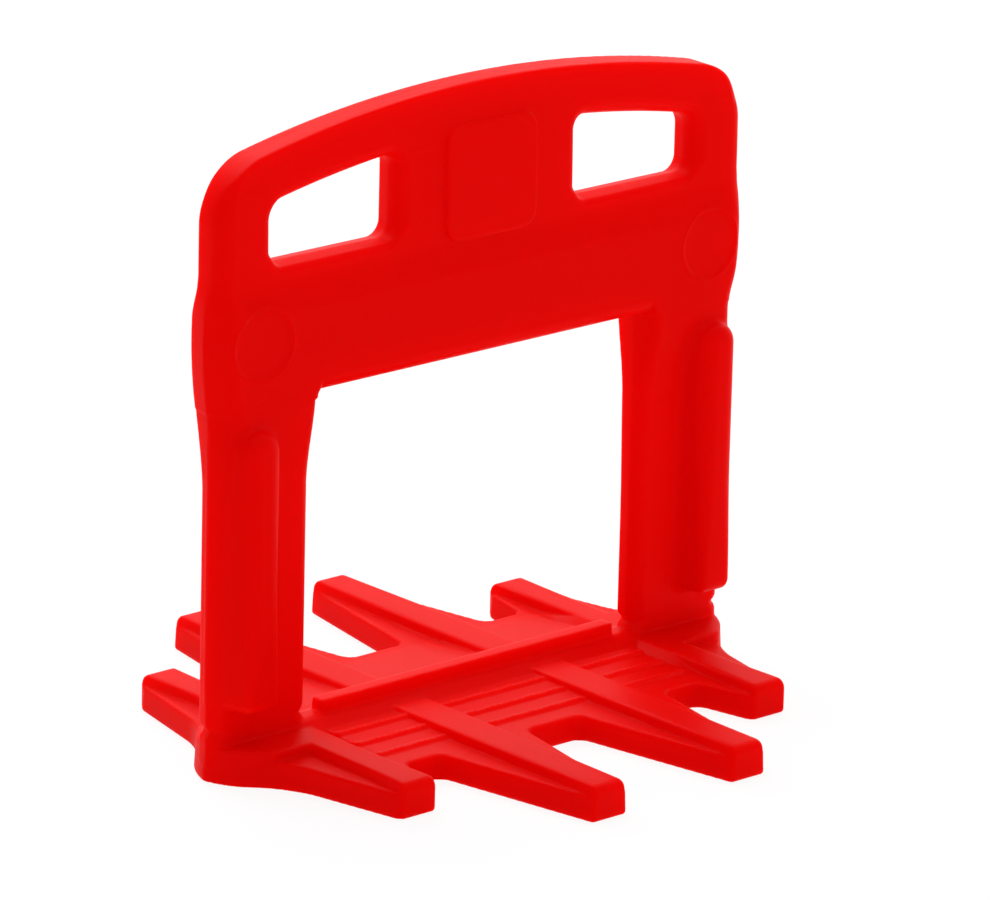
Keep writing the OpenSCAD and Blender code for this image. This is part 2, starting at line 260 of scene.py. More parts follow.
# Studio: side and place of each softbox in metres, backdrop and camera
KEY_BOX = (0.35, (0.06, 0.28, 0.36))
TOP_BOX = (0.5, (0.0, -0.05, 0.5))
FRONT_BOX = (0.4, (0.05, -0.44, 0.2))
FILL_BOX = (0.4, (0.42, 0.05, 0.2))
PLAIN_WHITE = 1.0
BACKDROP_SLOPE = 0.8
SENSOR_W = 36
NEAREST = 0.01

# Outer edge of leg and shoulder at the parting plane, as heights and widths
SHOULDER_Z = (17.4, 18.2, 20.0, 22.0, 24.0, 26.4, 28.4, 30.0)
SHOULDER_X = (19.65, 19.66, 19.71, 19.83, 20.04, 20.13, 20.03, 19.8)


def round_and(a, b, r):
    """Common part of two fields, its edge rounded to radius r."""
    over_a = np.maximum(a + r, 0)
    over_b = np.maximum(b + r, 0)
    return np.minimum(np.maximum(a, b), -r) + np.sqrt(over_a * over_a + over_b * over_b)


def round_or(a, b, r):
    """Two fields joined, the corner between them filled to radius r."""
    under_a = np.maximum(r - a, 0)
    under_b = np.maximum(r - b, 0)
    return np.maximum(np.minimum(a, b), r) - np.sqrt(under_a * under_a + under_b * under_b)


def ease(t):
    """0 below 0, 1 above 1 and the cubic 3t^2 - 2t^3 between."""
    t = np.clip(t, 0, 1)
    return t * t * (3 - 2 * t)


def smooth_track(z, heights, widths):
    """Widths joined over the heights by cubics with the slopes of their neighbours (Catmull-Rom)."""
    h = np.asarray(heights, dtype=np.float32)
    w = np.asarray(widths, dtype=np.float32)
    slope = np.gradient(w, h)
    slope[0] = 0
    slope[-1] = 0
    i = np.clip(np.searchsorted(h, z, side="right") - 1, 0, len(h) - 2)
    run = h[i + 1] - h[i]
    t = np.clip((z - h[i]) / run, 0, 1)
    lift = w[i + 1] - w[i]
    bend = t * (1 - t)
    return w[i] + lift * t * t * (3 - 2 * t) + run * bend * (slope[i] * (1 - t) - slope[i + 1] * t)


class ClipField:
    """Distance field of the clip in millimetres: negative in the plastic, 0 on its skin, positive outside."""

    def __init__(self, shape):
        self.head_edge_r = shape.head_edge / MM
        self.leg_edge_r = shape.leg_edge / MM
        self.base_edge_r = shape.base_edge / MM
        self.arch_edge_r = shape.arch_edge / MM
        self.rib_fillet_r = shape.rib_fillet / MM
        self.foot_fillet_r = shape.foot_fillet / MM
        self.window_draft = shape.window_draft / MM
        self.wall_draft = shape.wall_draft

    @staticmethod
    def front_face(z):
        """Distance of the front face from the parting plane: thin legs, thick crossbar, and a head that thins
        towards its arch."""
        climb = np.clip((z - FLARE_Z) / FLARE_H, 0, 1)
        thicken = FLARE_STRAIGHT * climb + (1 - FLARE_STRAIGHT) * ease(climb)
        bar = LEG_FRONT + (BAR_HALF_T - LEG_FRONT) * thicken
        head = BAR_HALF_T - (BAR_HALF_T - HEAD_HALF_T) * ease((z - CREASE_Z) / CREASE_H)
        return np.minimum(bar, head - HEAD_PILLOW * np.maximum(z - SILL_Z, 0) ** 2)

    def plate(self, x, y, z):
        """Head, crossbar, shoulders and legs as one plate.

        Its front outline is an arch between side lines, less two windows and the wedge's way between the
        legs; the side walls slope from the parting plane to the faces, whose distance changes with the
        height."""
        ax = np.abs(x)
        ay = np.abs(y)
        top = BAR_HALF_T - (BAR_HALF_T - HEAD_HALF_T) * ease((z - CREASE_Z) / CREASE_H)
        front = self.front_face(z)
        back = np.minimum(LEG_BACK + (BAR_HALF_T - LEG_BACK) * ease((z - BACK_FLARE_Z) / BACK_FLARE_H), top)
        depth = np.where(y < 0, -y / front, y / back)
        dip = np.exp(-((z - NOTCH_Z) / NOTCH_HALF_H) ** 2)
        waist = WAIST_INSET * np.exp(-((z - WAIST_Z) / WAIST_HALF_H) ** 2)
        rising = SHOULDER_INSET * ease((z - SHOULDER_INSET_Z) / SHOULDER_INSET_H)
        inset_front = LEG_INSET + rising + waist
        inset_back = BACK_INSET + BACK_INSET_GAIN * ease((z - BACK_INSET_Z) / BACK_INSET_H)
        inset = np.where(y < 0, inset_front, inset_back)
        inset = inset * (1 - ease((z - INSET_FADE_Z) / INSET_FADE_H))
        step = SHOULDER_STEP * ease((z - SHOULDER_STEP_Z) / SHOULDER_STEP_H)
        outer = ax - smooth_track(z, SHOULDER_Z, SHOULDER_X) - step + inset * depth + NOTCH_SIDE * dip
        arch = np.sqrt(x * x + (z - ARCH_Z) ** 2) - ARCH_R
        outline = round_and(outer * WALL_SCALE, arch, HEAD_CORNER_R)
        across = round_and(ax - WINDOW_X1, SILL_Z - z, WINDOW_R)
        window = round_and(across, round_and(WINDOW_X0 - ax, arch + RAIL_W, WINDOW_R), WINDOW_R)
        window = window + self.window_draft * (1 - ay / HEAD_HALF_T)
        flare = ease((z - INNER_FLARE_Z) / INNER_FLARE_H)
        inset_in = np.where(y < 0, INNER_INSET, INNER_BACK_INSET - INNER_BACK_GAIN * flare) * depth
        ledge = LEDGE * ease((z - LEDGE_Z) / LEDGE_H)
        between = ax - LEG_X0 - inset_in - NOTCH_SIDE * dip + ledge
        way = round_and(between, z - BAR_Z0, WAY_CORNER_R)
        front_view = np.maximum(np.maximum(outline, -window), -way)
        faces = np.maximum(-y - front, y - back) + NOTCH_FACE * dip
        return round_and(front_view, faces, self.plate_edge(ax, y, z, outer, arch, window))

    def plate_edge(self, ax, y, z, outer, arch, window):
        """Radius of the plate's edges: wide on the head's sides and under the crossbar, tight along the arch
        and at the back."""
        on_arch = ease(0.5 + (arch - outer) / ARCH_BLEND)
        rim = self.head_edge_r + (self.arch_edge_r - self.head_edge_r) * on_arch
        radius = self.leg_edge_r + (rim - self.leg_edge_r) * ease((z - HEAD_EDGE_Z) / HEAD_EDGE_H)
        radius = np.where(y < 0, radius, np.maximum(BACK_EDGE_SHARE * radius, BACK_EDGE_R))
        on_sill = ease((SILL_REACH - np.abs(z - SILL_Z)) / SILL_BLEND)
        window_front = WINDOW_FRONT_R + (SILL_FRONT_R - WINDOW_FRONT_R) * on_sill
        window_r = np.where(y < 0, window_front, WINDOW_BACK_R)
        radius = radius + (window_r - radius) * ease(WINDOW_REACH - np.abs(window))
        under = ease((UNDER_X - ax) / UNDER_BLEND) * ease((UNDER_Z1 - z) / UNDER_FADE)
        under = under * ease((z - UNDER_Z0) / UNDER_BLEND)
        return radius + (BAR_EDGE_R - radius) * under

    def blank_field(self, x, y, z):
        """Plain raised square with round corners between the windows."""
        middle_z = (SILL_Z + CROWN_Z - RAIL_W) / 2
        square = round_and(np.abs(x) - FIELD_HALF, np.abs(z - middle_z) - FIELD_HALF, WINDOW_R)
        return round_and(np.maximum(square, y), -y - self.front_face(z) - FIELD_T, FIELD_EDGE_R)

    def leg_rib(self, x, y, z):
        """Spacer rib on a leg's front: flanks lean to the crest, the top end is round and the crest softens
        upwards."""
        half = RIB_HALF_W + (RIB_HALF_W - RIB_CREST_HALF_W) / RIB_H * (y + LEG_FRONT)
        along = np.maximum(z - RIB_Z1 + RIB_TOP_H, 0) * half / RIB_TOP_H
        reach = np.sqrt((np.abs(x) - RIB_X) ** 2 + along * along)
        crest_r = CREST_R + CREST_R_GAIN * ease((z - CREST_Z) / CREST_H)
        rib = round_and((reach - half) * RIB_FLANK_SCALE, -y - LEG_FRONT - RIB_H, crest_r)
        return np.maximum(round_and(rib, RIB_Z0 - z, RIB_FOOT_R), y)

    def upper(self, x, y, z):
        """The plate with its plain field, the leg ribs and the sunk ejector marks, all in front of the
        base's middle."""
        ax = np.abs(x)
        y = y + FRAME_Y
        mark = np.sqrt((ax - MARK_X) ** 2 + (z - MARK_Z) ** 2) - MARK_R
        lip = MARK_LIP * np.exp(-(mark / MARK_LIP_W) ** 2)
        sunk = np.where(y < 0, MARK_T * ease(0.5 - mark / MARK_WALL) - lip, 0)
        body = round_or(self.plate(x, y, z) + sunk, self.blank_field(x, y, z), FIELD_FILLET_R)
        return np.maximum(round_or(body, self.leg_rib(x, y, z), self.rib_fillet_r), FRAME_Z0 - z)

    def plan(self, ax, ay, draft):
        """Plan of the flange, its side walls moved in by the draft: a web, two tapering fingers and a
        pointed end, with round inner corners."""
        web = np.maximum(ay - GAP_ROOT + draft, ax - OUTER_X)
        inner = np.abs(ax - INNER_X) - INNER_TIP_HALF - INNER_TAPER * (INNER_REACH - ay)
        inner = round_and(inner / math.hypot(1, INNER_TAPER) + draft, ay - INNER_REACH, INNER_TIP_R)
        outer = np.abs(ax - OUTER_X) - OUTER_TIP_HALF - OUTER_TAPER * (OUTER_REACH - ay)
        outer = round_and(outer / math.hypot(1, OUTER_TAPER) + draft, ay - OUTER_REACH, OUTER_TIP_R)
        outside = np.where(ax > OUTER_X, round_or(outer, self.end_plan(ax, ay) + draft, SWEEP_R), outer)
        return round_or(round_or(web, inner, GAP_R), outside, GAP_R)

    def end_plan(self, ax, ay):
        """Plan of the base's pointed end: a flat nose between two slants."""
        slant = (ax - BASE_X + END_SLOPE * (ay - END_HALF)) / math.hypot(1, END_SLOPE)
        return np.maximum(round_and(ax - BASE_X, slant, END_R), OUTER_X - ax)

    def finger_rib(self, ax, ay, z, x, reach, root_half, tip_half):
        """Rib on a finger pair: its sides lean a little and it ends flush with the finger's end."""
        taper = (root_half - tip_half) / (reach - GAP_ROOT)
        half = root_half - taper * np.maximum(ay - GAP_ROOT, 0)
        side = np.abs(ax - x) - half + RIB_LEAN * (np.maximum(z, FLANGE_T) - SEAT_Z)
        end = round_and(ay - reach, z - SEAT_Z, TIP_TOP_R)
        return round_and(side * FINGER_RIB_SCALE, end, self.base_edge_r)

    def web_steps(self, ax, y, z):
        """Treads that step down in front of the ridge, each with a low uneven bead on its nose, a plain
        slope behind it, and a ramp up to each outer rib that fades towards the gaps."""
        ay = np.abs(y)
        uneven = 1 + BEAD_UNEVEN * np.sin(BEAD_WAVE_A * ax) * np.sin(BEAD_WAVE_B * ax + BEAD_PHASE)
        treads = np.zeros_like(ay)
        for i in range(STEP_COUNT):
            nose = STEP_FIRST + i * STEP_RUN
            treads = treads + STEP_RISE * ease(0.5 + (nose - ay) / STEP_NOSE_W)
            treads = treads + STEP_BEAD * uneven * np.exp(-((ay - nose + BEAD_BACK) / BEAD_W) ** 2)
        plain = STEP_COUNT * STEP_RISE * np.clip((GAP_ROOT - WEB_EDGE - ay) / WEB_SLOPE_RUN, 0, 1)
        rise = np.where(y < 0, treads, plain)
        steps = np.maximum(z - FLANGE_T - rise, ax - STEP_X - STEP_OVERLAP)
        climb = (SEAT_Z - FLANGE_T) * (1 - ease((ay - RAMP_Y) / RAMP_RUN))
        ramp = z - FLANGE_T - climb * np.clip((ax - STEP_X) / STEP_SIDE, 0, 1)
        ramp = np.maximum(ramp * RAMP_SCALE, np.maximum(STEP_X - ax, ax - OUTER_X))
        return np.maximum(np.minimum(steps, ramp), ay - GAP_ROOT + WEB_EDGE)

    def ridge(self, ax, ay, z):
        """Square bar along the joint on a sloping foot that runs on to the legs as a saddle."""
        bar = round_and(ay - RIDGE_HALF - RIDGE_LEAN * (RIDGE_Z - z), z - RIDGE_Z, RIDGE_EDGE_R)
        bar = round_and(bar, ax - RIDGE_X, RIDGE_EDGE_R)
        flank = (ay - FOOT_HALF) * math.sin(FOOT_A) + (z - SADDLE_Z) * math.cos(FOOT_A)
        foot = round_and(flank, z - SADDLE_Z, FOOT_EDGE_R)
        return round_or(bar, np.maximum(foot, ax - LEG_X0 - SADDLE_RUN), RIDGE_FILLET_R)

    def base(self, x, y, z):
        """Comb base: the drafted flange, the ribs, the stepped web, the ridge with its saddles and the
        bosses."""
        ax = np.abs(x)
        ay = np.abs(y)
        draft = self.wall_draft * (z - FLANGE_T)
        wall = self.plan(ax, ay, draft)
        body = round_and(wall, z - FLANGE_T, self.base_edge_r)
        for row in (
            (INNER_X, INNER_REACH, INNER_RIB_HALF, INNER_RIB_TIP),
            (OUTER_X, OUTER_REACH, OUTER_RIB_HALF, OUTER_RIB_TIP),
        ):
            body = np.minimum(body, self.finger_rib(ax, ay, z, *row))
        body = np.minimum(body, self.web_steps(ax, y, z))
        boss = round_and(self.end_plan(ax, ay) + draft, ay - BOSS_Y, BOSS_EDGE_R)
        body = np.minimum(body, round_and(boss, z - SEAT_Z, END_EDGE_R))
        body = np.minimum(body, self.ridge(ax, ay, z))
        return round_and(body, -z, BOTTOM_EDGE_R)

    def __call__(self, x, y, z):
        return round_or(self.upper(x, y, z), self.base(x, y, z), self.foot_fillet_r)

    def slope(self, p, step=0.01):
        """Gradient at points p from differences to both sides."""
        parts = []
        for axis in range(3):
            move = np.zeros(3, dtype=p.dtype)
            move[axis] = step
            ahead = p + move
            behind = p - move
            parts.append((self(*ahead.T) - self(*behind.T)) / (2 * step))
        return np.stack(parts, axis=1)

    def settle(self, p, limit):
        """Points p moved onto the skin along the gradient (Newton), each step no longer than the limit."""
        value = self(*p.T)
        grad = self.slope(p)
        pull = value / np.maximum((grad * grad).sum(axis=1), LEAST_SLOPE)
        shift = grad * pull[:, None]
        length = np.sqrt((shift * shift).sum(axis=1))
        return p - shift * np.minimum(1, limit / np.maximum(length, 1e-9))[:, None]


def block_net(values, start, shape, lowest, highest):
    """Surface net of one block of lattice values.

    Each cell that the skin crosses gets the mean of the crossings on its edges; each lattice edge that the
    skin crosses gets the quad of its four cells. Edges from layer lowest up to, not with, layer highest are
    taken. Returns the cells' keys, their points in lattice units and the quads as keys."""
    inside = values < 0
    count = np.zeros(tuple(n - 1 for n in inside.shape), dtype=np.int8)
    corners = [(i, j, k) for i in (0, 1) for j in (0, 1) for k in (0, 1)]
    nx, ny, nz = count.shape
    for i, j, k in corners:
        count += inside[i:i + nx, j:j + ny, k:k + nz]
    cell = np.argwhere((count > 0) & (count < 8))
    total = np.zeros((len(cell), 3))
    hits = np.zeros(len(cell))
    for axis in range(3):
        for corner in corners:
            if corner[axis]:
                continue
            a = cell + corner
            b = a.copy()
            b[:, axis] += 1
            va = values[tuple(a.T)]
            vb = values[tuple(b.T)]
            cross = (va < 0) != (vb < 0)
            point = a[cross].astype(float)
            point[:, axis] += va[cross] / (va[cross] - vb[cross])
            total[cross] += point
            hits[cross] += 1
    points = total / hits[:, None] + start

    def key(index):
        index = index + start
        return (index[:, 0] * shape[1] + index[:, 1]) * shape[2] + index[:, 2]

    quads = []
    for axis in range(3):
        near = np.take(inside, range(inside.shape[axis] - 1), axis)
        far = np.take(inside, range(1, inside.shape[axis]), axis)
        edge = np.argwhere(near != far)
        layer = edge[:, 2] + start[2]
        edge = edge[(layer >= lowest) & (layer < highest)]
        outward = near[tuple(edge.T)]
        u = np.eye(3, dtype=int)[(axis + 1) % 3]
        v = np.eye(3, dtype=int)[(axis + 2) % 3]
        ring = np.stack([key(edge - u - v), key(edge - v), key(edge), key(edge - u)], axis=1)
        quads.append(np.where(outward[:, None], ring, ring[:, ::-1]))
    return key(cell), points, np.concatenate(quads)


def clip_mesh_arrays(field, cell):
    """Points in millimetres and quads of the clip's skin, from two blocks of one lattice: the base and the
    frame."""
    low = np.array(LATTICE_LOW)
    high = np.array(LATTICE_HIGH)
    shape = np.ceil((high - low) / cell).astype(int) + 1
    ticks = [(low[i] + cell * np.arange(shape[i])).astype(np.float32) for i in range(3)]
    split = int(np.ceil((SPLIT_Z - low[2]) / cell))
    near = np.flatnonzero(np.abs(ticks[1]) < FRAME_REACH)
    blocks = (
        (field.__call__, (0, shape[1]), (0, split + 1), 0, split),
        (field.upper, (near[0], near[-1] + 1), (split - 1, shape[2]), split, shape[2]),
    )
    keys, points, quads = [], [], []
    for rule, (y0, y1), (z0, z1), lowest, highest in blocks:
        x = ticks[0][:, None, None]
        y = ticks[1][None, y0:y1, None]
        z = ticks[2][None, None, z0:z1]
        values = np.broadcast_to(rule(x, y, z), (shape[0], y1 - y0, z1 - z0))
        part = block_net(values, np.array([0, y0, z0]), shape, lowest, highest)
        keys.append(part[0])
        points.append(part[1])
        quads.append(part[2])
    key, first = np.unique(np.concatenate(keys), return_index=True)
    point = np.concatenate(points)[first] * cell + low
    quad = np.searchsorted(key, np.concatenate(quads))
    return point, quad


def mesh_from_arrays(name, points, faces):
    """A mesh from whole arrays of points in metres and faces with the same number of corners."""
    mesh = bpy.data.meshes.new(name)
    mesh.vertices.add(len(points))
    mesh.vertices.foreach_set("co", points.astype(np.float32).ravel())
    mesh.loops.add(faces.size)
    mesh.loops.foreach_set("vertex_index", faces.astype(np.int32).ravel())
    mesh.polygons.add(len(faces))
    mesh.polygons.foreach_set("loop_start", np.arange(0, faces.size, faces.shape[1], dtype=np.int32))
    mesh.update(calc_edges=True)
    mesh.validate()
    return mesh


def mesh_points(mesh):
    """The mesh's points in millimetres as an array of rows."""
    flat = np.empty(3 * len(mesh.vertices), dtype=np.float32)
    mesh.vertices.foreach_get("co", flat)
    return flat.reshape(-1, 3).astype(float) / MM


def mesh_triangles(mesh):
    """The corner points of the mesh's triangles as an array of rows."""
    mesh.calc_loop_triangles()
    flat = np.empty(3 * len(mesh.loop_triangles), dtype=np.int32)
    mesh.loop_triangles.foreach_get("vertices", flat)
    return flat.reshape(-1, 3)


def thinned(mesh, triangles):
    """A copy of the mesh with at most so many triangles, taken away where the skin is flattest."""
    have = len(mesh_triangles(mesh))
    carrier = bpy.data.objects.new("thinning", mesh)
    bpy.context.scene.collection.objects.link(carrier)
    step = carrier.modifiers.new("Thin", "DECIMATE")
    step.ratio = min(1.0, triangles / have)
    step.use_collapse_triangulate = True
    ready = carrier.evaluated_get(bpy.context.evaluated_depsgraph_get())
    thin = bpy.data.meshes.new_from_object(ready)
    bpy.data.objects.remove(carrier)
    bpy.data.meshes.remove(mesh)
    return thin


def shade_by_area(mesh):
    """Smooth shading whose normals are the sums of the neighbouring faces' areas, so flat faces stay flat."""
    mesh.polygons.foreach_set("use_smooth", np.ones(len(mesh.polygons), dtype=bool))
    point = mesh_points(mesh)
    tri = mesh_triangles(mesh)
    a, b, c = (point[tri[:, i]] for i in range(3))
    face = np.cross(b - a, c - a)
    total = np.zeros_like(point)
    for axis in range(3):
        for corner in range(3):
            total[:, axis] += np.bincount(tri[:, corner], face[:, axis], minlength=len(point))
    length = np.sqrt((total * total).sum(axis=1))
    mesh.normals_split_custom_set_from_vertices((total / np.maximum(length, 1e-12)[:, None]).tolist())
    mesh.update()


def linear(hex_colour):
    """Linear RGB of an sRGB hex value such as DC0A05."""
    channels = [int(hex_colour[i:i + 2], 16) / 255 for i in (0, 2, 4)]
    return [c / 12.92 if c <= 0.04045 else ((c + 0.055) / 1.055) ** 2.4 for c in channels]


def add_node(tree, kind, settings=(), inputs=(), links=()):
    """A node of that kind with its settings, its inputs' values and links into it as (output socket, input
    name)."""
    node = tree.nodes.new(kind)
    for name, value in settings:
        setattr(node, name, value)
    for name, value in inputs:
        node.inputs[name].default_value = value
    for socket, name in links:
        tree.links.new(socket, node.inputs[name])
    return node


def red_polypropylene(finish):
    """Polypropylene dyed red through and injection moulded: satin, with the mould's fine texture and its
    streaks along the arch."""
    material = bpy.data.materials.new("red moulded polypropylene")
    material.use_nodes = True
    tree = material.node_tree
    shader = tree.nodes["Principled BSDF"]
    shader.inputs["Base Color"].default_value = (*finish.colour, 1)
    shader.inputs["Roughness"].default_value = finish.roughness
    shader.inputs["IOR"].default_value = finish.ior
    shader.inputs["Specular IOR Level"].default_value = finish.gloss
    shader.inputs["Subsurface Weight"].default_value = finish.glow
    shader.inputs["Subsurface Radius"].default_value = GLOW_SPREAD
    shader.inputs["Subsurface Scale"].default_value = finish.glow_depth
    place = add_node(tree, "ShaderNodeTexCoord")
    grain = add_node(
        tree, "ShaderNodeTexNoise",
        inputs=[("Scale", 1 / finish.grain), ("Detail", GRAIN_DETAIL), ("Roughness", GRAIN_ROUGHNESS)],
        links=[(place.outputs["Object"], "Vector")],
    )
    bump = add_node(
        tree, "ShaderNodeBump",
        inputs=[("Strength", finish.grain_strength), ("Distance", finish.grain_depth)],
        links=[(grain.outputs["Fac"], "Height")],
    )
    stretch = add_node(
        tree, "ShaderNodeMapping", inputs=[("Scale", (STREAK_STRETCH, 1, 1))],
        links=[(place.outputs["Object"], "Vector")],
    )
    streak = add_node(
        tree, "ShaderNodeTexNoise",
        inputs=[("Scale", 1 / finish.streak), ("Detail", STREAK_DETAIL), ("Roughness", STREAK_ROUGHNESS)],
        links=[(stretch.outputs["Vector"], "Vector")],
    )
    axes = add_node(tree, "ShaderNodeSeparateXYZ", links=[(place.outputs["Object"], 0)])
    on_arch = add_node(
        tree, "ShaderNodeMapRange", inputs=[("From Min", STREAK_Z0 * MM), ("From Max", STREAK_Z1 * MM)],
        links=[(axes.outputs["Z"], "Value")],
    )
    streaks = add_node(
        tree, "ShaderNodeBump", inputs=[("Distance", finish.grain_depth)],
        links=[(streak.outputs["Fac"], "Height"), (on_arch.outputs["Result"], "Strength"),
               (bump.outputs["Normal"], "Normal")],
    )
    tree.links.new(streaks.outputs["Normal"], shader.inputs["Normal"])
    return material


class ClipShape(bpy.types.PropertyGroup):
    """Edges and drafts of the moulded clip, and how finely its skin is meshed."""
    cell: FloatProperty(
        name="Cell", description="Cell of the lattice that the skin is taken from",
        default=0.13 * MM, precision=6, unit="LENGTH", subtype="DISTANCE")
    triangles: IntProperty(
        name="Triangles", description="Most triangles in the finished skin", default=190000)
    head_edge: FloatProperty(
        name="Head edge", description="Radius of the edges on the head's sides",
        default=1.0 * MM, precision=6, unit="LENGTH", subtype="DISTANCE")
    leg_edge: FloatProperty(
        name="Leg edge", description="Radius of the edges of legs and shoulders",
        default=0.42 * MM, precision=6, unit="LENGTH", subtype="DISTANCE")
    base_edge: FloatProperty(
        name="Base edge", description="Radius of the upper edges of flange and ribs",
        default=0.18 * MM, precision=6, unit="LENGTH", subtype="DISTANCE")
    arch_edge: FloatProperty(
        name="Arch edge", description="Radius of the edges along the head's arch",
        default=0.16 * MM, precision=6, unit="LENGTH", subtype="DISTANCE")
    rib_fillet: FloatProperty(
        name="Rib fillet", description="Radius of the inner corners beside the leg ribs",
        default=0.4 * MM, precision=6, unit="LENGTH", subtype="DISTANCE")
    foot_fillet: FloatProperty(
        name="Foot fillet", description="Radius of the inner corners where the legs meet the base",
        default=0.12 * MM, precision=6, unit="LENGTH", subtype="DISTANCE")
    window_draft: FloatProperty(
        name="Window draft", description="How far a window's wall opens from the middle plane to a face",
        default=0.2 * MM, precision=6, unit="LENGTH", subtype="DISTANCE")
    wall_draft: FloatProperty(
        name="Wall draft", description="Lean of the flange's walls, width per height", default=0.06)


class ClipFinish(bpy.types.PropertyGroup):
    """Colour and surface of the plastic."""
    colour: FloatVectorProperty(
        name="Colour", description="Colour of the dyed plastic", subtype="COLOR", size=3,
        min=0, max=1, default=linear("E30200"))
    roughness: FloatProperty(
        name="Roughness", description="Roughness of the satin skin", subtype="FACTOR",
        min=0, max=1, default=0.45)
    ior: FloatProperty(name="IOR", description="Refractive index of polypropylene", default=1.49)
    gloss: FloatProperty(
        name="Gloss", description="Strength of the surface reflection, 0.5 is the full one", subtype="FACTOR",
        min=0, max=1, default=0.03)
    glow: FloatProperty(
        name="Glow", description="Share of the light that scatters inside the plastic", subtype="FACTOR",
        min=0, max=1, default=1.0)
    glow_depth: FloatProperty(
        name="Glow depth", description="How far red light scatters inside the plastic",
        default=3.5 * MM, precision=6, unit="LENGTH", subtype="DISTANCE")
    grain: FloatProperty(
        name="Grain", description="Grain of the mould's texture",
        default=0.35 * MM, precision=6, unit="LENGTH", subtype="DISTANCE")
    streak: FloatProperty(
        name="Streak", description="Width of the mould's streaks along the arch",
        default=0.3 * MM, precision=6, unit="LENGTH", subtype="DISTANCE")
    grain_depth: FloatProperty(
        name="Grain depth", description="Depth of the mould's texture",
        default=0.02 * MM, precision=7, unit="LENGTH", subtype="DISTANCE")
    grain_strength: FloatProperty(
        name="Grain strength", description="Share of the texture that shows", subtype="FACTOR",
        min=0, max=1, default=0.25)


class ClipStage(bpy.types.PropertyGroup):
    """Studio round the clip."""
    floor_half: FloatProperty(
        name="Floor", description="Half the floor's side", default=3.0, unit="LENGTH", subtype="DISTANCE")
    floor_colour: FloatVectorProperty(
        name="Floor colour", description="Colour of the floor", subtype="COLOR", size=3, min=0, max=1,
        default=linear("C8C8C8"))
    floor_glow: FloatProperty(
        name="Floor white", description="Share of plain white that the camera sees in the floor",
        subtype="FACTOR", min=0, max=1, default=0.75)
    floor_light: FloatProperty(
        name="Floor light", description="Strength of the light that comes up from the lit floor", default=0.5)
    world: FloatProperty(name="World", description="Strength of the even light from all round", default=0.42)
    key: FloatProperty(
        name="Key", description="Power of the softbox above and behind", default=1.25, unit="POWER")
    top: FloatProperty(
        name="Top", description="Power of the softbox above", default=0.75, unit="POWER")
    front: FloatProperty(
        name="Front", description="Power of the softbox at the front", default=0.17, unit="POWER")
    fill: FloatProperty(
        name="Fill", description="Power of the softbox at the right", default=0.3, unit="POWER")
    lens: FloatProperty(name="Lens", description="Focal length of the camera", default=284.635)
    camera_place: FloatVectorProperty(
        name="Camera", description="Place of the camera", size=3, subtype="TRANSLATION", unit="LENGTH",
        default=(-285.5997 * MM, -322.282 * MM, 154.6366 * MM))
    camera_turn: FloatVectorProperty(
        name="Camera turn", description="Rotation of the camera", size=3, subtype="EULER", unit="ROTATION",
        default=tuple(math.radians(a) for a in (72.1546, -1.3553, -41.3071)))


class CLIP_OT_mould(bpy.types.Operator):
    """Mould the clip: contour its distance field, thin the mesh and give it its plastic"""
    bl_idname = "clip.mould"
    bl_label = "Mould the clip"

    def execute(self, context):
        shape = context.scene.clip_shape
        cell = shape.cell / MM
        field = ClipField(shape)
        points, quads = clip_mesh_arrays(field, cell)
        for _ in range(SETTLE_ROUNDS):
            points = field.settle(points, SETTLE_SHARE * cell)
        mesh = mesh_from_arrays("clip_skin", points * MM, quads)
        mesh = thinned(mesh, shape.triangles)
        points = field.settle(mesh_points(mesh), SETTLE_SHARE * cell)
        mesh.vertices.foreach_set("co", (points * MM).astype(np.float32).ravel())
        mesh.update()
        shade_by_area(mesh)
        mesh.name = "clip_skin"
        mesh.materials.clear()
        mesh.materials.append(red_polypropylene(context.scene.clip_finish))
        piece = bpy.data.objects.new("clip_skin", mesh)
        context.scene.collection.objects.link(piece)
        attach(piece, "root")
        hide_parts("clip_body")
        return {"FINISHED"}


